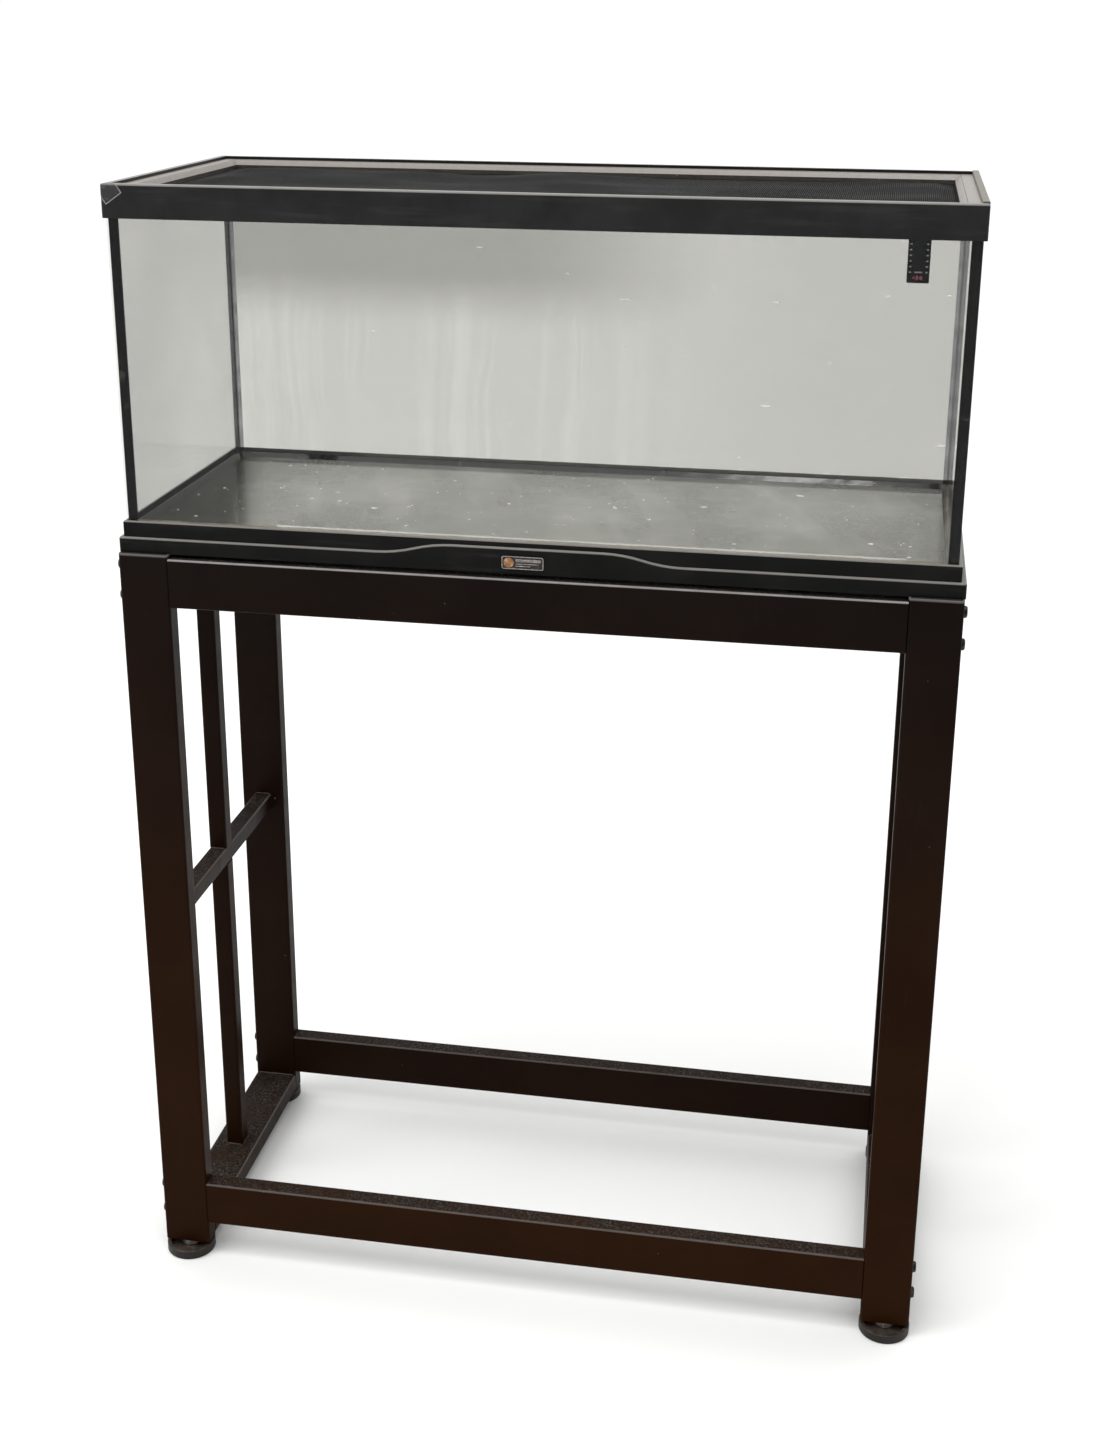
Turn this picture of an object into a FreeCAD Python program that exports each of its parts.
import FreeCAD, Part
import math
import os

# A long low glass tank with a sliding screen top, standing on an open black
# steel stand with levelling feet.  Millimetres, +Z up, +X to the right, -Y is
# the front.  The origin is on the floor at the middle of the stand.

# Stand
STAND_LENGTH = 776.0        # over the legs, along X
STAND_DEPTH = 321.0         # over the legs, along Y
TUBE_WIDE = 48.0            # wide face of the main rectangular tube
TUBE_THIN = 20.0            # narrow face of the main tube
TUBE_WALL = 1.5
TUBE_CORNER = 2.5           # outer corner radius of every tube
LATTICE = 19.0              # square tube of the side lattices
LEG_BOTTOM = 13.0           # underside of a leg above the floor
LEG_LENGTH = 756.0
LOW_RAIL_LIFT = 24.5        # low front and back rails above the leg bottoms
TOP_RAIL_DROP = 3.3         # top front and back rails below the leg tops
CROSSBAR_MIDDLE = 390.0     # height of the lattice crossbars

# Bolted joints between the rails and the end frames
BOLT_R = 3.0
BOLT_HOLE_R = 3.3
BOLT_SPREAD = 15.0          # each bolt above or below its rail's middle
BOLT_GRIP = 62.0            # shank under the head
HEAD_R = 5.4
HEAD_H = 3.2
HEAD_DOME = 2.0
SOCKET_FLATS = 4.0
SOCKET_DEPTH = 2.0
END_BLOCK = 12.0            # threaded block in each rail end

# Levelling feet
PLUG_H = 20.0               # threaded plug in the bottom of a leg
CAP_H = 7.0                 # cap in the top of a leg
STEM_R = 4.0
STEM_PLAY = 0.05            # radial clearance of the stem in plug and pad
STEM_TOP = 42.0
FLANGE_FLATS = 17.0
FLANGE_Z = (6.2, 12.7)
PAD_R = 25.0
PAD_H = 9.5
PAD_RIM = 4.0
PAD_FLOOR = 5.5
PAD_SOCKET = 2.5
PAD_EDGE = 1.0

# Tank
TANK_SHIFT = 4.4            # the tank stands this far behind the stand's middle
TANK_BOTTOM = LEG_BOTTOM + LEG_LENGTH
TANK_HEIGHT = 337.0
GLASS_LENGTH = 762.2
GLASS_DEPTH = 310.0
GLASS = 5.0                 # wall panes
FLOOR_GLASS = 6.0
FLOOR_TOP = 22.0            # top of the floor pane above the tank's underside
SEAM = 1.0                  # silicone between two panes
BEAD = 4.5                  # leg of the silicone fillets
BEAD_VERTICAL = 3.5

# Moulded bottom frame
BAND_LENGTH = 778.0
BAND_DEPTH = 318.4
BAND_H = 14.6
UPPER_BAND_LENGTH = 768.6
UPPER_BAND_DEPTH = 313.2
UPPER_BAND_TOP = 29.5
UPPER_BAND_ROUND = 1.6
FLANGE_W = 22.0
FLANGE_T = 3.0
WAVE_RISE = 9.7             # the lower band swells upward in the middle
WAVE_FLAT = 69.0            # half-length of the raised stretch
WAVE_RAMP = 72.0            # length of each ramp
BAND_ROUND = 2.4

# Moulded top frame
FRAME_LENGTH = 768.4
FRAME_DEPTH = 316.2
FRAME_H = 30.0
FRAME_WALL = 2.8
FRAME_CORNER = 3.2
FRAME_ROUND = 2.2
LIP_W = 8.0                 # lip over the edges of the sliding screen
LIP_T = 2.4
SHELF_W = 20.0              # shelf that the screen slides on
SHELF_Z = (14.4, 12.0)      # shelf's underside and top, below the rim
SKIRT_OFFSET = 8.5          # skirt behind the glass
SKIRT_T = 2.0
SKIRT_DROP = 26.0

# Sliding screen
SCREEN_EDGE = 3.2           # screen's edge inside the frame's outer face
SCREEN_W = 22.4             # width of the screen's rails
SCREEN_Z = (11.6, 2.8)      # screen's underside and top, below the rim
SCREEN_CHAMFER = 4.2
GROOVE = 0.8                # decorative groove on the rails' top
GROOVE_OFFSET = 16.8
SPLINE_OFFSET = (14.8, 17.8)
SPLINE_DEPTH = 2.8
MESH_T = 0.6
KEY_OFFSET = (4.0, 12.0)    # corner key channel inside the rails
KEY_H = 3.6
KEY_LIFT = 3.4
KEY_LEG = 40.0
PULL_W = 6.0                # pull strip along the right end of the screen
PULL_TOP = 1.2              # strip's top above the rim
PULL_GAP = 0.5
PULL_ROUND = 0.8

# Small things on the tank
BADGE = (38.4, 1.2, 12.0)   # length, thickness, height
BADGE_MIDDLE = 11.0         # above the tank's underside
BADGE_X = -3.8              # the plate's middle, beside the tank's middle
BADGE_BORDER = 0.7
BADGE_CORNER = 1.8
BADGE_RECESS = 0.4
BADGE_DISC_R = 4.6
BADGE_DISC_X = -12.7        # from the plate's middle
BADGE_DISC_T = 0.7
STRIP = (22.0, 0.5, 64.0)   # thermometer strip: width, thickness, height
STRIP_X = 333.0
STRIP_BOTTOM = 228.5        # above the tank's underside
STRIP_CORNER = 1.0

# Allowances of the construction itself
OVERCUT = 1.0               # cutting solids run this far past the faces that they open
NEAR = 0.1                  # an edge this close to a face lies on it
TINY = 1e-6

# Derived heights and faces
LEG_TOP = LEG_BOTTOM + LEG_LENGTH
LEG_X = (STAND_LENGTH / 2 - TUBE_WIDE, STAND_LENGTH / 2)
LEG_Y = (STAND_DEPTH / 2 - TUBE_THIN, STAND_DEPTH / 2)
LEG_AXIS_X = (LEG_X[0] + LEG_X[1]) / 2
LEG_AXIS_Y = (LEG_Y[0] + LEG_Y[1]) / 2
LOW_RAIL_Z = LEG_BOTTOM + LOW_RAIL_LIFT
TOP_RAIL_Z = LEG_TOP - TOP_RAIL_DROP - TUBE_WIDE
RIM = TANK_BOTTOM + TANK_HEIGHT
SHELF_UNDER = RIM - SHELF_Z[0]
SHELF_TOP = RIM - SHELF_Z[1]
SCREEN_UNDER = RIM - SCREEN_Z[0]
SCREEN_TOP = RIM - SCREEN_Z[1]
PANE_BOTTOM = TANK_BOTTOM + FLANGE_T
FLOOR_Z = TANK_BOTTOM + FLOOR_TOP

SIDES = {"left": -1, "right": 1}
ENDS = {"front": -1, "back": 1}
AXES = {"x": 0, "y": 1, "z": 2}


def vec(x, y, z):
    return FreeCAD.Vector(x, y, z)


def save(name, shape):
    os.makedirs("parts", exist_ok=True)
    shape.exportStep("parts/" + name + ".step")


def block(x, y, z):
    """A box from three (low, high) ranges, given in any order."""
    low = [min(r) for r in (x, y, z)]
    high = [max(r) for r in (x, y, z)]
    size = [b - a for a, b in zip(low, high)]
    return Part.makeBox(*size, vec(*low))


def mirrored(pair, sign):
    return (sign * pair[0], sign * pair[1])


def long_edges(shape, axis, keep=lambda middle: True):
    """The straight edges that run along one axis."""
    found = []
    for edge in shape.Edges:
        a, b = edge.Vertexes[0].Point, edge.Vertexes[-1].Point
        run = b - a
        along = abs(list(run)[AXES[axis]])
        if along > NEAR and run.Length - along < TINY and keep((a + b) * 0.5):
            found.append(edge)
    return found


def tube(axis, x, y, z):
    """A rectangular tube with rounded long edges, open at both ends."""
    outer = block(x, y, z)
    outer = outer.makeFillet(TUBE_CORNER, long_edges(outer, axis))
    ranges = []
    for name, span in zip("xyz", (x, y, z)):
        grow = OVERCUT if name == axis else -TUBE_WALL
        ranges.append((min(span) - grow, max(span) + grow))
    return outer.cut(block(*ranges))


def inside(span):
    """The clear span between two walls of a tube."""
    return (min(span) + TUBE_WALL, max(span) - TUBE_WALL)


def rod(radius, start, direction, length):
    return Part.makeCylinder(radius, length, start, direction)


def hexagon(flats, z0, z1):
    radius = flats / math.sqrt(3)
    angles = [math.radians(60 * i) for i in range(7)]
    corners = [vec(radius * math.cos(a), radius * math.sin(a), z0) for a in angles]
    face = Part.Face(Part.makePolygon(corners))
    return face.extrude(vec(0, 0, z1 - z0))


def bolt_heights():
    for bottom in (LOW_RAIL_Z, TOP_RAIL_Z):
        middle = bottom + TUBE_WIDE / 2
        yield middle - BOLT_SPREAD
        yield middle + BOLT_SPREAD


# ---------------------------------------------------------------- stand

def leg(side, end):
    x = mirrored(LEG_X, side)
    y = mirrored(LEG_Y, end)
    shape = tube("z", x, y, (LEG_BOTTOM, LEG_TOP))
    for z in bolt_heights():
        start = vec(min(x) - OVERCUT, end * LEG_AXIS_Y, z)
        shape = shape.cut(rod(BOLT_HOLE_R, start, vec(1, 0, 0), TUBE_WIDE + 2 * OVERCUT))
    return shape


def side_rail(side, bottom):
    """A tube laid flat between the two legs of one end frame."""
    return tube("y", mirrored(LEG_X, side), (-LEG_Y[0], LEG_Y[0]), (bottom, bottom + TUBE_THIN))


def long_rail(end, bottom):
    """A tube on edge between the left and right end frames."""
    return tube("x", (-LEG_X[0], LEG_X[0]), mirrored(LEG_Y, end), (bottom, bottom + TUBE_WIDE))


def lattice_span(side):
    return (side * LEG_AXIS_X - LATTICE / 2, side * LEG_AXIS_X + LATTICE / 2)


def crossbar(side):
    z = (CROSSBAR_MIDDLE - LATTICE / 2, CROSSBAR_MIDDLE + LATTICE / 2)
    return tube("y", lattice_span(side), (-LEG_Y[0], LEG_Y[0]), z)


def upright(side, z0, z1):
    return tube("z", lattice_span(side), (-LATTICE / 2, LATTICE / 2), (z0, z1))


def rail_end_blocks():
    """Threaded blocks welded into the ends of the long rails."""
    blocks = []
    for side in SIDES.values():
        x = mirrored((LEG_X[0] - END_BLOCK, LEG_X[0]), side)
        for end in ENDS.values():
            for bottom in (LOW_RAIL_Z, TOP_RAIL_Z):
                solid = block(x, inside(mirrored(LEG_Y, end)), inside((bottom, bottom + TUBE_WIDE)))
                for offset in (-BOLT_SPREAD, BOLT_SPREAD):
                    start = vec(min(x) - OVERCUT, end * LEG_AXIS_Y, bottom + TUBE_WIDE / 2 + offset)
                    solid = solid.cut(rod(BOLT_R, start, vec(1, 0, 0), END_BLOCK + 2 * OVERCUT))
                blocks.append(solid)
    return Part.makeCompound(blocks)


def bolt():
    """A button-head bolt along +Z: the head's underside is at z = 0, the shank below it."""
    head = Part.makeCylinder(HEAD_R, HEAD_H)
    top_edge = [e for e in head.Edges if e.CenterOfMass.z > HEAD_H - TINY and e.isClosed()]
    head = head.makeFillet(HEAD_DOME, top_edge)
    head = head.cut(hexagon(SOCKET_FLATS, HEAD_H - SOCKET_DEPTH, HEAD_H + OVERCUT))
    return head.fuse(rod(BOLT_R, vec(0, 0, 0), vec(0, 0, -1), BOLT_GRIP))


def frame_bolts():
    bolts = []
    for side in SIDES.values():
        turn = FreeCAD.Rotation(vec(0, 0, 1), vec(side, 0, 0))
        for end in ENDS.values():
            for z in bolt_heights():
                place = vec(side * LEG_X[1], end * LEG_AXIS_Y, z)
                one = bolt()
                one.Placement = FreeCAD.Placement(place, turn)
                bolts.append(one)
    return Part.makeCompound(bolts)


def leg_inserts(z0, height, bored):
    """Plugs that fill the legs' ends; the lower ones are bored for the feet."""
    plugs = []
    for side in SIDES.values():
        for end in ENDS.values():
            plug = block(inside(mirrored(LEG_X, side)), inside(mirrored(LEG_Y, end)), (z0, z0 + height))
            if bored:
                start = vec(side * LEG_AXIS_X, end * LEG_AXIS_Y, z0 - OVERCUT)
                plug = plug.cut(rod(STEM_R + STEM_PLAY, start, vec(0, 0, 1), height + 2 * OVERCUT))
            plugs.append(plug)
    return Part.makeCompound(plugs)


def foot_pad(side, end):
    """A round glide with a raised rim and a socket for the stem."""
    r_socket = STEM_R + STEM_PLAY
    bulge = PAD_EDGE * math.sqrt(0.5)
    rim = vec(PAD_R - PAD_EDGE + bulge, 0, PAD_H - PAD_EDGE + bulge)
    outline = [
        Part.makePolygon([vec(0, 0, PAD_SOCKET), vec(0, 0, 0), vec(PAD_R - PAD_EDGE, 0, 0),
                          vec(PAD_R, 0, PAD_EDGE), vec(PAD_R, 0, PAD_H - PAD_EDGE)]),
        Part.Arc(vec(PAD_R, 0, PAD_H - PAD_EDGE), rim, vec(PAD_R - PAD_EDGE, 0, PAD_H)).toShape(),
        Part.makePolygon([vec(PAD_R - PAD_EDGE, 0, PAD_H), vec(PAD_R - PAD_RIM, 0, PAD_H),
                          vec(PAD_R - PAD_RIM - PAD_EDGE, 0, PAD_FLOOR), vec(r_socket, 0, PAD_FLOOR),
                          vec(r_socket, 0, PAD_SOCKET), vec(0, 0, PAD_SOCKET)]),
    ]
    wire = Part.Wire(sum([Part.Wire(piece).Edges for piece in outline], []))
    pad = Part.Face(wire).revolve(vec(0, 0, 0), vec(0, 0, 1), 360)
    pad.translate(vec(side * LEG_AXIS_X, end * LEG_AXIS_Y, 0))
    return pad


def foot_stem(side, end):
    """A threaded stem with a hexagonal flange, held in the pad and in the leg's plug."""
    foot = PAD_SOCKET + STEM_PLAY
    stem = rod(STEM_R, vec(0, 0, foot), vec(0, 0, 1), STEM_TOP - foot)
    stem = stem.fuse(hexagon(FLANGE_FLATS, *FLANGE_Z)).removeSplitter()
    stem.translate(vec(side * LEG_AXIS_X, end * LEG_AXIS_Y, 0))
    return stem


def build_stand():
    top_side_z = LEG_TOP - TUBE_THIN
    for side_name, side in SIDES.items():
        for end_name, end in ENDS.items():
            place = end_name + "_" + side_name
            save("leg_" + place, leg(side, end))
            save("foot_pad_" + place, foot_pad(side, end))
            save("foot_stem_" + place, foot_stem(side, end))
        save("side_rail_bottom_" + side_name, side_rail(side, LEG_BOTTOM))
        save("side_rail_top_" + side_name, side_rail(side, top_side_z))
        save("lattice_crossbar_" + side_name, crossbar(side))
        low = upright(side, LEG_BOTTOM + TUBE_THIN, CROSSBAR_MIDDLE - LATTICE / 2)
        high = upright(side, CROSSBAR_MIDDLE + LATTICE / 2, top_side_z)
        save("lattice_upright_lower_" + side_name, low)
        save("lattice_upright_upper_" + side_name, high)
    for end_name, end in ENDS.items():
        save("rail_bottom_" + end_name, long_rail(end, LOW_RAIL_Z))
        save("rail_top_" + end_name, long_rail(end, TOP_RAIL_Z))
    save("rail_end_blocks", rail_end_blocks())
    save("frame_bolts", frame_bolts())
    save("leg_foot_plugs", leg_inserts(LEG_BOTTOM, PLUG_H, True))
    save("leg_top_caps", leg_inserts(LEG_TOP - CAP_H, CAP_H, False))


# ---------------------------------------------------------------- tank

def tank_block(half_x, half_y, z):
    """A box centred on the tank in plan."""
    return block((-half_x, half_x), (TANK_SHIFT - half_y, TANK_SHIFT + half_y), z)


def ring(length, depth, offset_out, offset_in, z):
    """A rectangular ring: a band between two offsets inside a given outline."""
    outer = tank_block(length / 2 - offset_out, depth / 2 - offset_out, z)
    tall = (min(z) - OVERCUT, max(z) + OVERCUT)
    inner = tank_block(length / 2 - offset_in, depth / 2 - offset_in, tall)
    return outer.cut(inner)


def build_glass():
    half_x = GLASS_LENGTH / 2
    half_y = GLASS_DEPTH / 2
    z = (PANE_BOTTOM, SHELF_UNDER)
    for name, end in ENDS.items():
        y = (TANK_SHIFT + end * (half_y - GLASS), TANK_SHIFT + end * half_y)
        save("glass_" + name, block((-half_x, half_x), y, z))
    reach = half_y - GLASS - SEAM
    for name, side in SIDES.items():
        x = mirrored((half_x - GLASS, half_x), side)
        save("glass_" + name, block(x, (TANK_SHIFT - reach, TANK_SHIFT + reach), z))
    floor = tank_block(half_x - GLASS - SEAM, reach, (FLOOR_Z - FLOOR_GLASS, FLOOR_Z))
    save("glass_floor", floor)


def concave_corner(leg_length):
    """The plan of a fillet in the corner at the origin, with a hollow face."""
    hollow = leg_length * (1 - math.sqrt(0.5))
    curve = Part.Arc(vec(leg_length, 0, 0), vec(hollow, hollow, 0), vec(0, leg_length, 0)).toShape()
    sides = Part.makePolygon([vec(0, leg_length, 0), vec(0, 0, 0), vec(leg_length, 0, 0)])
    return Part.Face(Part.Wire([curve] + sides.Edges))


def corner_seams():
    """The joints between wall panes, each with a fillet on its inner side."""
    low = FLOOR_Z + BEAD
    fillet_height = RIM - SKIRT_DROP - low
    seams = []
    for side in SIDES.values():
        for end in ENDS.values():
            inner_x = side * (GLASS_LENGTH / 2 - GLASS)
            inner_y = TANK_SHIFT + end * (GLASS_DEPTH / 2 - GLASS)
            fillet = concave_corner(SEAM + BEAD_VERTICAL).extrude(vec(0, 0, fillet_height))
            if side > 0:
                fillet = fillet.mirror(vec(0, 0, 0), vec(1, 0, 0))
            if end > 0:
                fillet = fillet.mirror(vec(0, 0, 0), vec(0, 1, 0))
            fillet.translate(vec(inner_x, inner_y, low))
            joint = block((inner_x, inner_x + side * GLASS), (inner_y, inner_y - end * SEAM),
                          (low, SHELF_UNDER))
            seams.append(fillet.fuse(joint).removeSplitter())
    return Part.makeCompound(seams)


def floor_seal():
    """The silicone round the floor pane, with a bevelled bead on top."""
    clear = ring(GLASS_LENGTH - 2 * GLASS, GLASS_DEPTH - 2 * GLASS, 0, SEAM,
                 (FLOOR_Z - FLOOR_GLASS, FLOOR_Z))
    bead = ring(GLASS_LENGTH - 2 * GLASS, GLASS_DEPTH - 2 * GLASS, 0, SEAM + BEAD,
                (FLOOR_Z, FLOOR_Z + BEAD))
    half_x = GLASS_LENGTH / 2 - GLASS - SEAM - BEAD
    half_y = GLASS_DEPTH / 2 - GLASS - SEAM - BEAD

    def hollow(z_from, half_from, z_to, half_to):
        outlines = []
        for z, (hx, hy) in ((z_from, half_from), (z_to, half_to)):
            corners = [vec(-hx, TANK_SHIFT - hy, z), vec(hx, TANK_SHIFT - hy, z),
                       vec(hx, TANK_SHIFT + hy, z), vec(-hx, TANK_SHIFT + hy, z)]
            outlines.append(Part.makePolygon(corners + corners[:1]))
        return Part.makeLoft(outlines, True, True)

    bevel = hollow(FLOOR_Z, (half_x, half_y), FLOOR_Z + BEAD, (half_x + BEAD, half_y + BEAD))
    return clear.fuse(bead).cut(bevel).removeSplitter()


def top_frame():
    """The moulded rim: a glass channel below, a groove for the screen above, open at the right."""
    half_x = FRAME_LENGTH / 2
    half_y = FRAME_DEPTH / 2
    bottom = RIM - FRAME_H
    shape = tank_block(half_x, half_y, (bottom, RIM))
    shape = shape.makeFillet(FRAME_CORNER, long_edges(shape, "z"))
    top_edges = [e for e in shape.Edges if e.BoundBox.ZMin > RIM - TINY]
    shape = shape.makeFillet(FRAME_ROUND, top_edges)

    below = tank_block(half_x - FRAME_WALL, half_y - FRAME_WALL, (bottom - OVERCUT, SHELF_UNDER))
    skirt = ring(FRAME_LENGTH, FRAME_DEPTH, SKIRT_OFFSET, SKIRT_OFFSET + SKIRT_T,
                 (RIM - SKIRT_DROP, SHELF_UNDER))
    mouth = tank_block(half_x - SHELF_W, half_y - SHELF_W, (bottom, RIM))
    shape = shape.cut(below.cut(skirt)).cut(mouth)

    way_out = half_y - FRAME_WALL
    between_lips = half_y - LIP_W
    past_end = half_x + OVERCUT
    groove = block((-half_x + FRAME_WALL, past_end), (TANK_SHIFT - way_out, TANK_SHIFT + way_out),
                   (SHELF_TOP, RIM - LIP_T))
    opening = block((-half_x + LIP_W, past_end), (TANK_SHIFT - between_lips, TANK_SHIFT + between_lips),
                    (RIM - LIP_T, RIM + OVERCUT))
    return shape.cut(groove).cut(opening).removeSplitter()


def wave_profile():
    """The raised middle of the lower band, as a closed outline in X and Z."""
    base = TANK_BOTTOM + BAND_H
    crest = base + WAVE_RISE
    outer = WAVE_FLAT + WAVE_RAMP
    radius = (WAVE_RAMP ** 2 + WAVE_RISE ** 2) / (4 * WAVE_RISE)
    turn = math.asin(WAVE_RAMP / 2 / radius)
    dx = radius * math.sin(turn / 2)
    dz = radius * (1 - math.cos(turn / 2))
    half = outer - WAVE_RAMP / 2
    middle = (base + crest) / 2
    points = {
        "start": vec(-outer, 0, base), "low": vec(-outer + dx, 0, base + dz),
        "mid": vec(-half, 0, middle), "high": vec(-WAVE_FLAT - dx, 0, crest - dz),
        "crest": vec(-WAVE_FLAT, 0, crest),
    }
    flip = {name: vec(-p.x, 0, p.z) for name, p in points.items()}
    under = base - BAND_H / 2
    edges = [
        Part.Arc(points["start"], points["low"], points["mid"]).toShape(),
        Part.Arc(points["mid"], points["high"], points["crest"]).toShape(),
        Part.makeLine(points["crest"], flip["crest"]),
        Part.Arc(flip["crest"], flip["high"], flip["mid"]).toShape(),
        Part.Arc(flip["mid"], flip["low"], flip["start"]).toShape(),
        Part.makeLine(flip["start"], vec(outer, 0, under)),
        Part.makeLine(vec(outer, 0, under), vec(-outer, 0, under)),
        Part.makeLine(vec(-outer, 0, under), points["start"]),
    ]
    return Part.Face(Part.Wire(edges))


def bottom_frame():
    """The moulded base: two stepped bands round the glass and a flange that stands on the stand."""
    base = TANK_BOTTOM
    half_x = GLASS_LENGTH / 2
    half_y = GLASS_DEPTH / 2
    inner = tank_block(half_x, half_y, (base + FLANGE_T, RIM))
    hole = tank_block(half_x - FLANGE_W, half_y - FLANGE_W, (base - OVERCUT, RIM))
    lower = tank_block(BAND_LENGTH / 2, BAND_DEPTH / 2, (base, base + BAND_H))
    upper = tank_block(UPPER_BAND_LENGTH / 2, UPPER_BAND_DEPTH / 2, (base, base + UPPER_BAND_TOP))
    step = (BAND_DEPTH - UPPER_BAND_DEPTH) / 2
    waves = []
    for end in ENDS.values():
        wave = wave_profile().extrude(vec(0, step, 0))
        face_y = TANK_SHIFT + end * BAND_DEPTH / 2
        wave.translate(vec(0, face_y if end < 0 else face_y - step, 0))
        waves.append(wave)
    shape = lower.fuse(waves).removeSplitter()

    corners = long_edges(shape, "z", lambda m: abs(m.x) > BAND_LENGTH / 2 - NEAR)
    shape = shape.makeFillet(FRAME_CORNER, corners)
    shape = shape.makeFillet(BAND_ROUND, crest_edges(shape))
    corners = long_edges(upper, "z")
    upper = upper.makeFillet(FRAME_CORNER - step, corners)
    top = [e for e in upper.Edges if e.BoundBox.ZMin > base + UPPER_BAND_TOP - TINY]
    upper = upper.makeFillet(UPPER_BAND_ROUND, top)
    return shape.fuse(upper).cut(inner).cut(hole).removeSplitter()


def crest_edges(shape):
    """The lower band's top outer edge, along the straight stretches, the waves and the corners."""
    found = []
    for edge in shape.Edges:
        box = edge.BoundBox
        high = box.ZMin > TANK_BOTTOM + BAND_H - NEAR
        y = (box.YMin + box.YMax) / 2 - TANK_SHIFT
        on_face = box.YLength < NEAR and abs(y) > BAND_DEPTH / 2 - NEAR
        on_end = box.XLength < NEAR and box.YLength > BAND_DEPTH / 2
        bend = all(NEAR < run <= FRAME_CORNER + NEAR for run in (box.XLength, box.YLength))
        if high and (on_face or on_end or bend):
            found.append(edge)
    return found


def badge():
    """A blank framed plate in the middle of the lower band, with a round boss on it."""
    length, thick, height = BADGE
    x0, x1 = BADGE_X - length / 2, BADGE_X + length / 2
    face_y = TANK_SHIFT - BAND_DEPTH / 2
    z = TANK_BOTTOM + BADGE_MIDDLE
    z0, z1 = z - height / 2, z + height / 2
    plate = block((x0, x1), (face_y - thick, face_y), (z0, z1))
    plate = plate.makeFillet(BADGE_CORNER, long_edges(plate, "y"))
    rim = BADGE_BORDER
    floor_y = face_y - thick + BADGE_RECESS
    recess = block((x0 + rim, x1 - rim), (face_y - thick - OVERCUT, floor_y), (z0 + rim, z1 - rim))
    recess = recess.makeFillet(BADGE_CORNER - rim, long_edges(recess, "y"))
    plate = plate.cut(recess)
    disc = rod(BADGE_DISC_R, vec(BADGE_X + BADGE_DISC_X, floor_y, z), vec(0, -1, 0), BADGE_DISC_T)
    return plate, disc


def thermometer_strip():
    width, thick, height = STRIP
    back = TANK_SHIFT + GLASS_DEPTH / 2 - GLASS
    bottom = TANK_BOTTOM + STRIP_BOTTOM
    strip = block((STRIP_X - width / 2, STRIP_X + width / 2), (back - thick, back), (bottom, bottom + height))
    return strip.makeFillet(STRIP_CORNER, long_edges(strip, "y"))


def build_tank():
    build_glass()
    save("silicone_corner_seams", corner_seams())
    save("silicone_floor_seal", floor_seal())
    save("top_frame", top_frame())
    save("bottom_frame", bottom_frame())
    plate, disc = badge()
    save("badge_plate", plate)
    save("badge_boss", disc)
    save("thermometer_strip", thermometer_strip())


# ---------------------------------------------------------------- sliding screen

def screen_outline():
    x0 = -FRAME_LENGTH / 2 + SCREEN_EDGE
    x1 = FRAME_LENGTH / 2
    y0 = TANK_SHIFT - FRAME_DEPTH / 2 + SCREEN_EDGE
    y1 = TANK_SHIFT + FRAME_DEPTH / 2 - SCREEN_EDGE
    return x0, x1, y0, y1


def rail_section():
    """Section of a screen rail: first axis from its outer edge inward, second axis up."""
    h = SCREEN_TOP - SCREEN_UNDER
    groove_in = GROOVE_OFFSET + GROOVE
    points = [(0, 0), (SPLINE_OFFSET[0], 0), (SPLINE_OFFSET[0], SPLINE_DEPTH),
              (SPLINE_OFFSET[1], SPLINE_DEPTH), (SPLINE_OFFSET[1], MESH_T), (SCREEN_W, MESH_T),
              (SCREEN_W, h - SCREEN_CHAMFER), (SCREEN_W - SCREEN_CHAMFER, h),
              (groove_in, h), (groove_in, h - GROOVE), (GROOVE_OFFSET, h - GROOVE),
              (GROOVE_OFFSET, h), (0, h)]
    corners = [vec(0, a, b) for a, b in points]
    outer = Part.Face(Part.makePolygon(corners + corners[:1]))
    key = [vec(0, KEY_OFFSET[0], KEY_LIFT), vec(0, KEY_OFFSET[1], KEY_LIFT),
           vec(0, KEY_OFFSET[1], KEY_LIFT + KEY_H), vec(0, KEY_OFFSET[0], KEY_LIFT + KEY_H)]
    channel = Part.Face(Part.makePolygon(key + key[:1]))
    return outer.cut(channel)


def mitre_wedge(length):
    """The plan that a rail keeps between its two mitred ends, as a tall prism."""
    w = SCREEN_W + OVERCUT
    low = -OVERCUT
    corners = [vec(0, 0, low), vec(length, 0, low), vec(length - w, w, low), vec(w, w, low)]
    tall = SCREEN_TOP - SCREEN_UNDER + 2 * OVERCUT
    return Part.Face(Part.makePolygon(corners + corners[:1])).extrude(vec(0, 0, tall))


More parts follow.
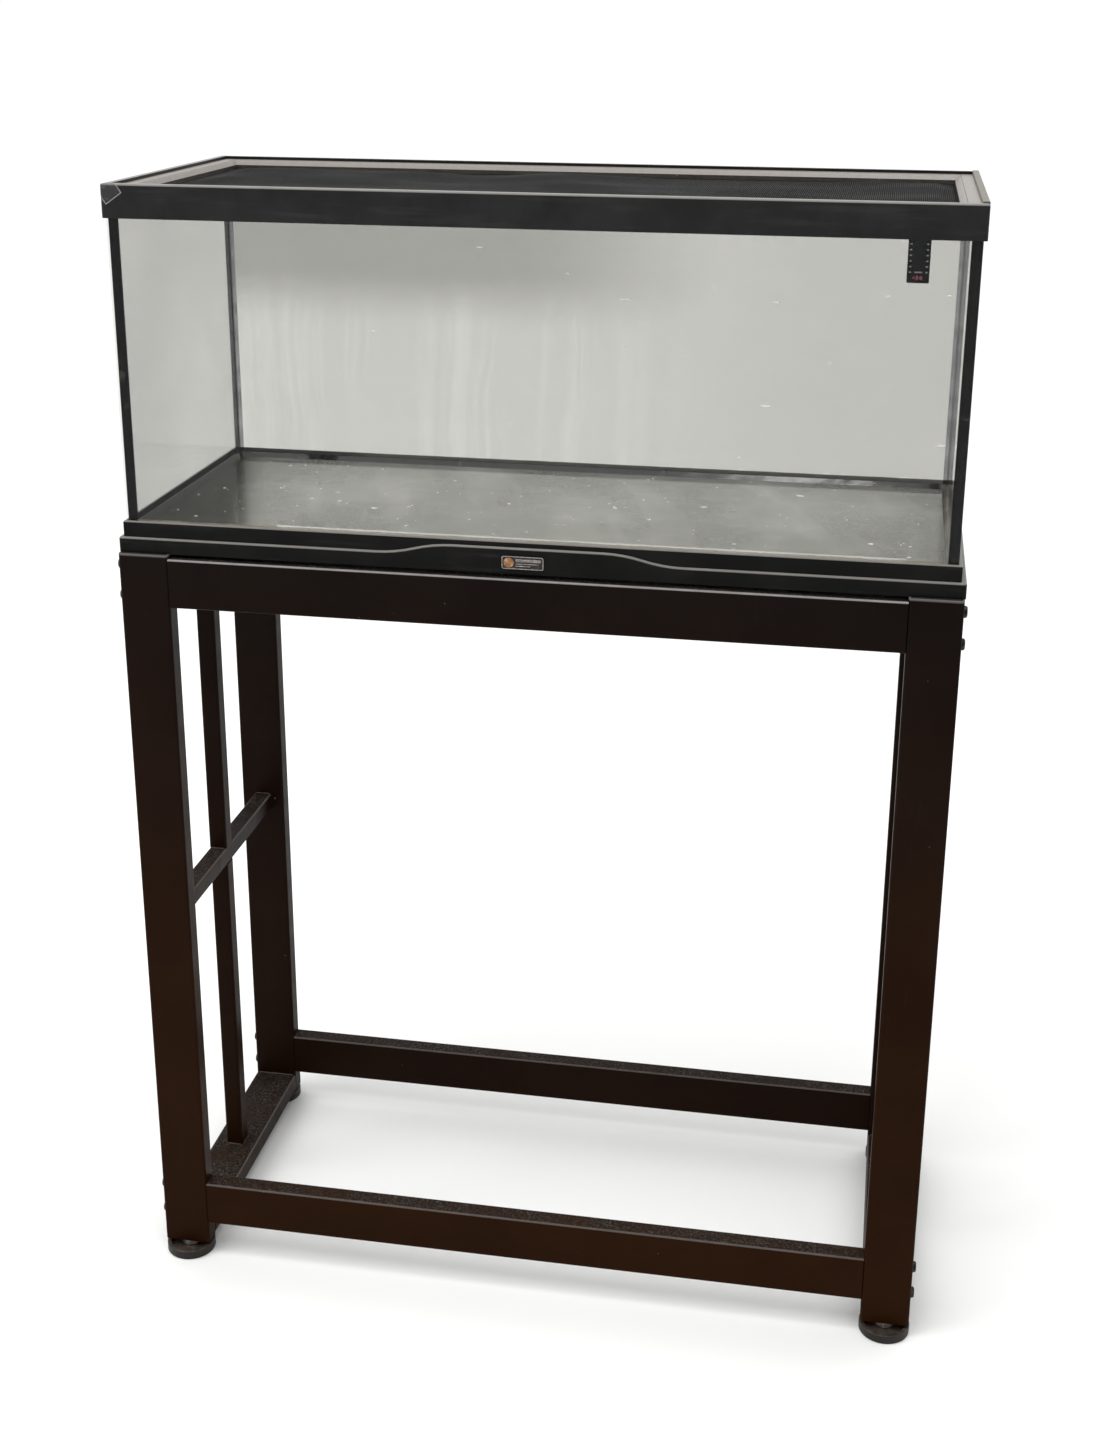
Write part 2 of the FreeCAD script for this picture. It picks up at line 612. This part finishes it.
def screen_rails():
    x0, x1, y0, y1 = screen_outline()
    along = x1 - x0
    across = y1 - y0
    places = {
        "front": (along, vec(x0, y0, SCREEN_UNDER), 0),
        "right": (across, vec(x1, y0, SCREEN_UNDER), 90),
        "back": (along, vec(x1, y1, SCREEN_UNDER), 180),
        "left": (across, vec(x0, y1, SCREEN_UNDER), 270),
    }
    rails = {}
    for name, (length, start, angle) in places.items():
        rail = rail_section().extrude(vec(length, 0, 0)).common(mitre_wedge(length))
        rail.Placement = FreeCAD.Placement(start, FreeCAD.Rotation(vec(0, 0, 1), angle))
        rails[name] = rail
    return rails


def screen_ring(offset_out, offset_in, z):
    x0, x1, y0, y1 = screen_outline()
    a, b = offset_out, offset_in
    outer = block((x0 + a, x1 - a), (y0 + a, y1 - a), z)
    tall = (min(z) - OVERCUT, max(z) + OVERCUT)
    return outer.cut(block((x0 + b, x1 - b), (y0 + b, y1 - b), tall))


def corner_keys():
    """L-shaped keys that join the mitred rails from inside."""
    x0, x1, y0, y1 = screen_outline()
    z = (SCREEN_UNDER + KEY_LIFT, SCREEN_UNDER + KEY_LIFT + KEY_H)
    whole = screen_ring(KEY_OFFSET[0], KEY_OFFSET[1], z)
    keys = []
    for x, side in ((x0, 1), (x1, -1)):
        for y, end in ((y0, 1), (y1, -1)):
            keys.append(whole.common(block((x, x + side * KEY_LEG), (y, y + end * KEY_LEG), z)))
    return Part.makeCompound(keys)


def screen_mesh():
    x0, x1, y0, y1 = screen_outline()
    a = SPLINE_OFFSET[1]
    return block((x0 + a, x1 - a), (y0 + a, y1 - a), (SCREEN_UNDER, SCREEN_UNDER + MESH_T))


def pull_strip():
    """The raised strip along the screen's right end, between the two lips of the frame."""
    half_y = FRAME_DEPTH / 2 - LIP_W - PULL_GAP
    x1 = FRAME_LENGTH / 2
    strip = block((x1 - PULL_W, x1), (TANK_SHIFT - half_y, TANK_SHIFT + half_y), (SCREEN_TOP, RIM + PULL_TOP))
    top = long_edges(strip, "y", lambda m: m.z > RIM)
    return strip.makeFillet(PULL_ROUND, top)


def build_screen():
    for name, rail in screen_rails().items():
        save("screen_rail_" + name, rail)
    save("screen_corner_keys", corner_keys())
    save("screen_mesh", screen_mesh())
    save("screen_spline", screen_ring(*SPLINE_OFFSET, (SCREEN_UNDER, SCREEN_UNDER + SPLINE_DEPTH)))
    save("screen_pull_strip", pull_strip())


build_stand()
build_tank()
build_screen()
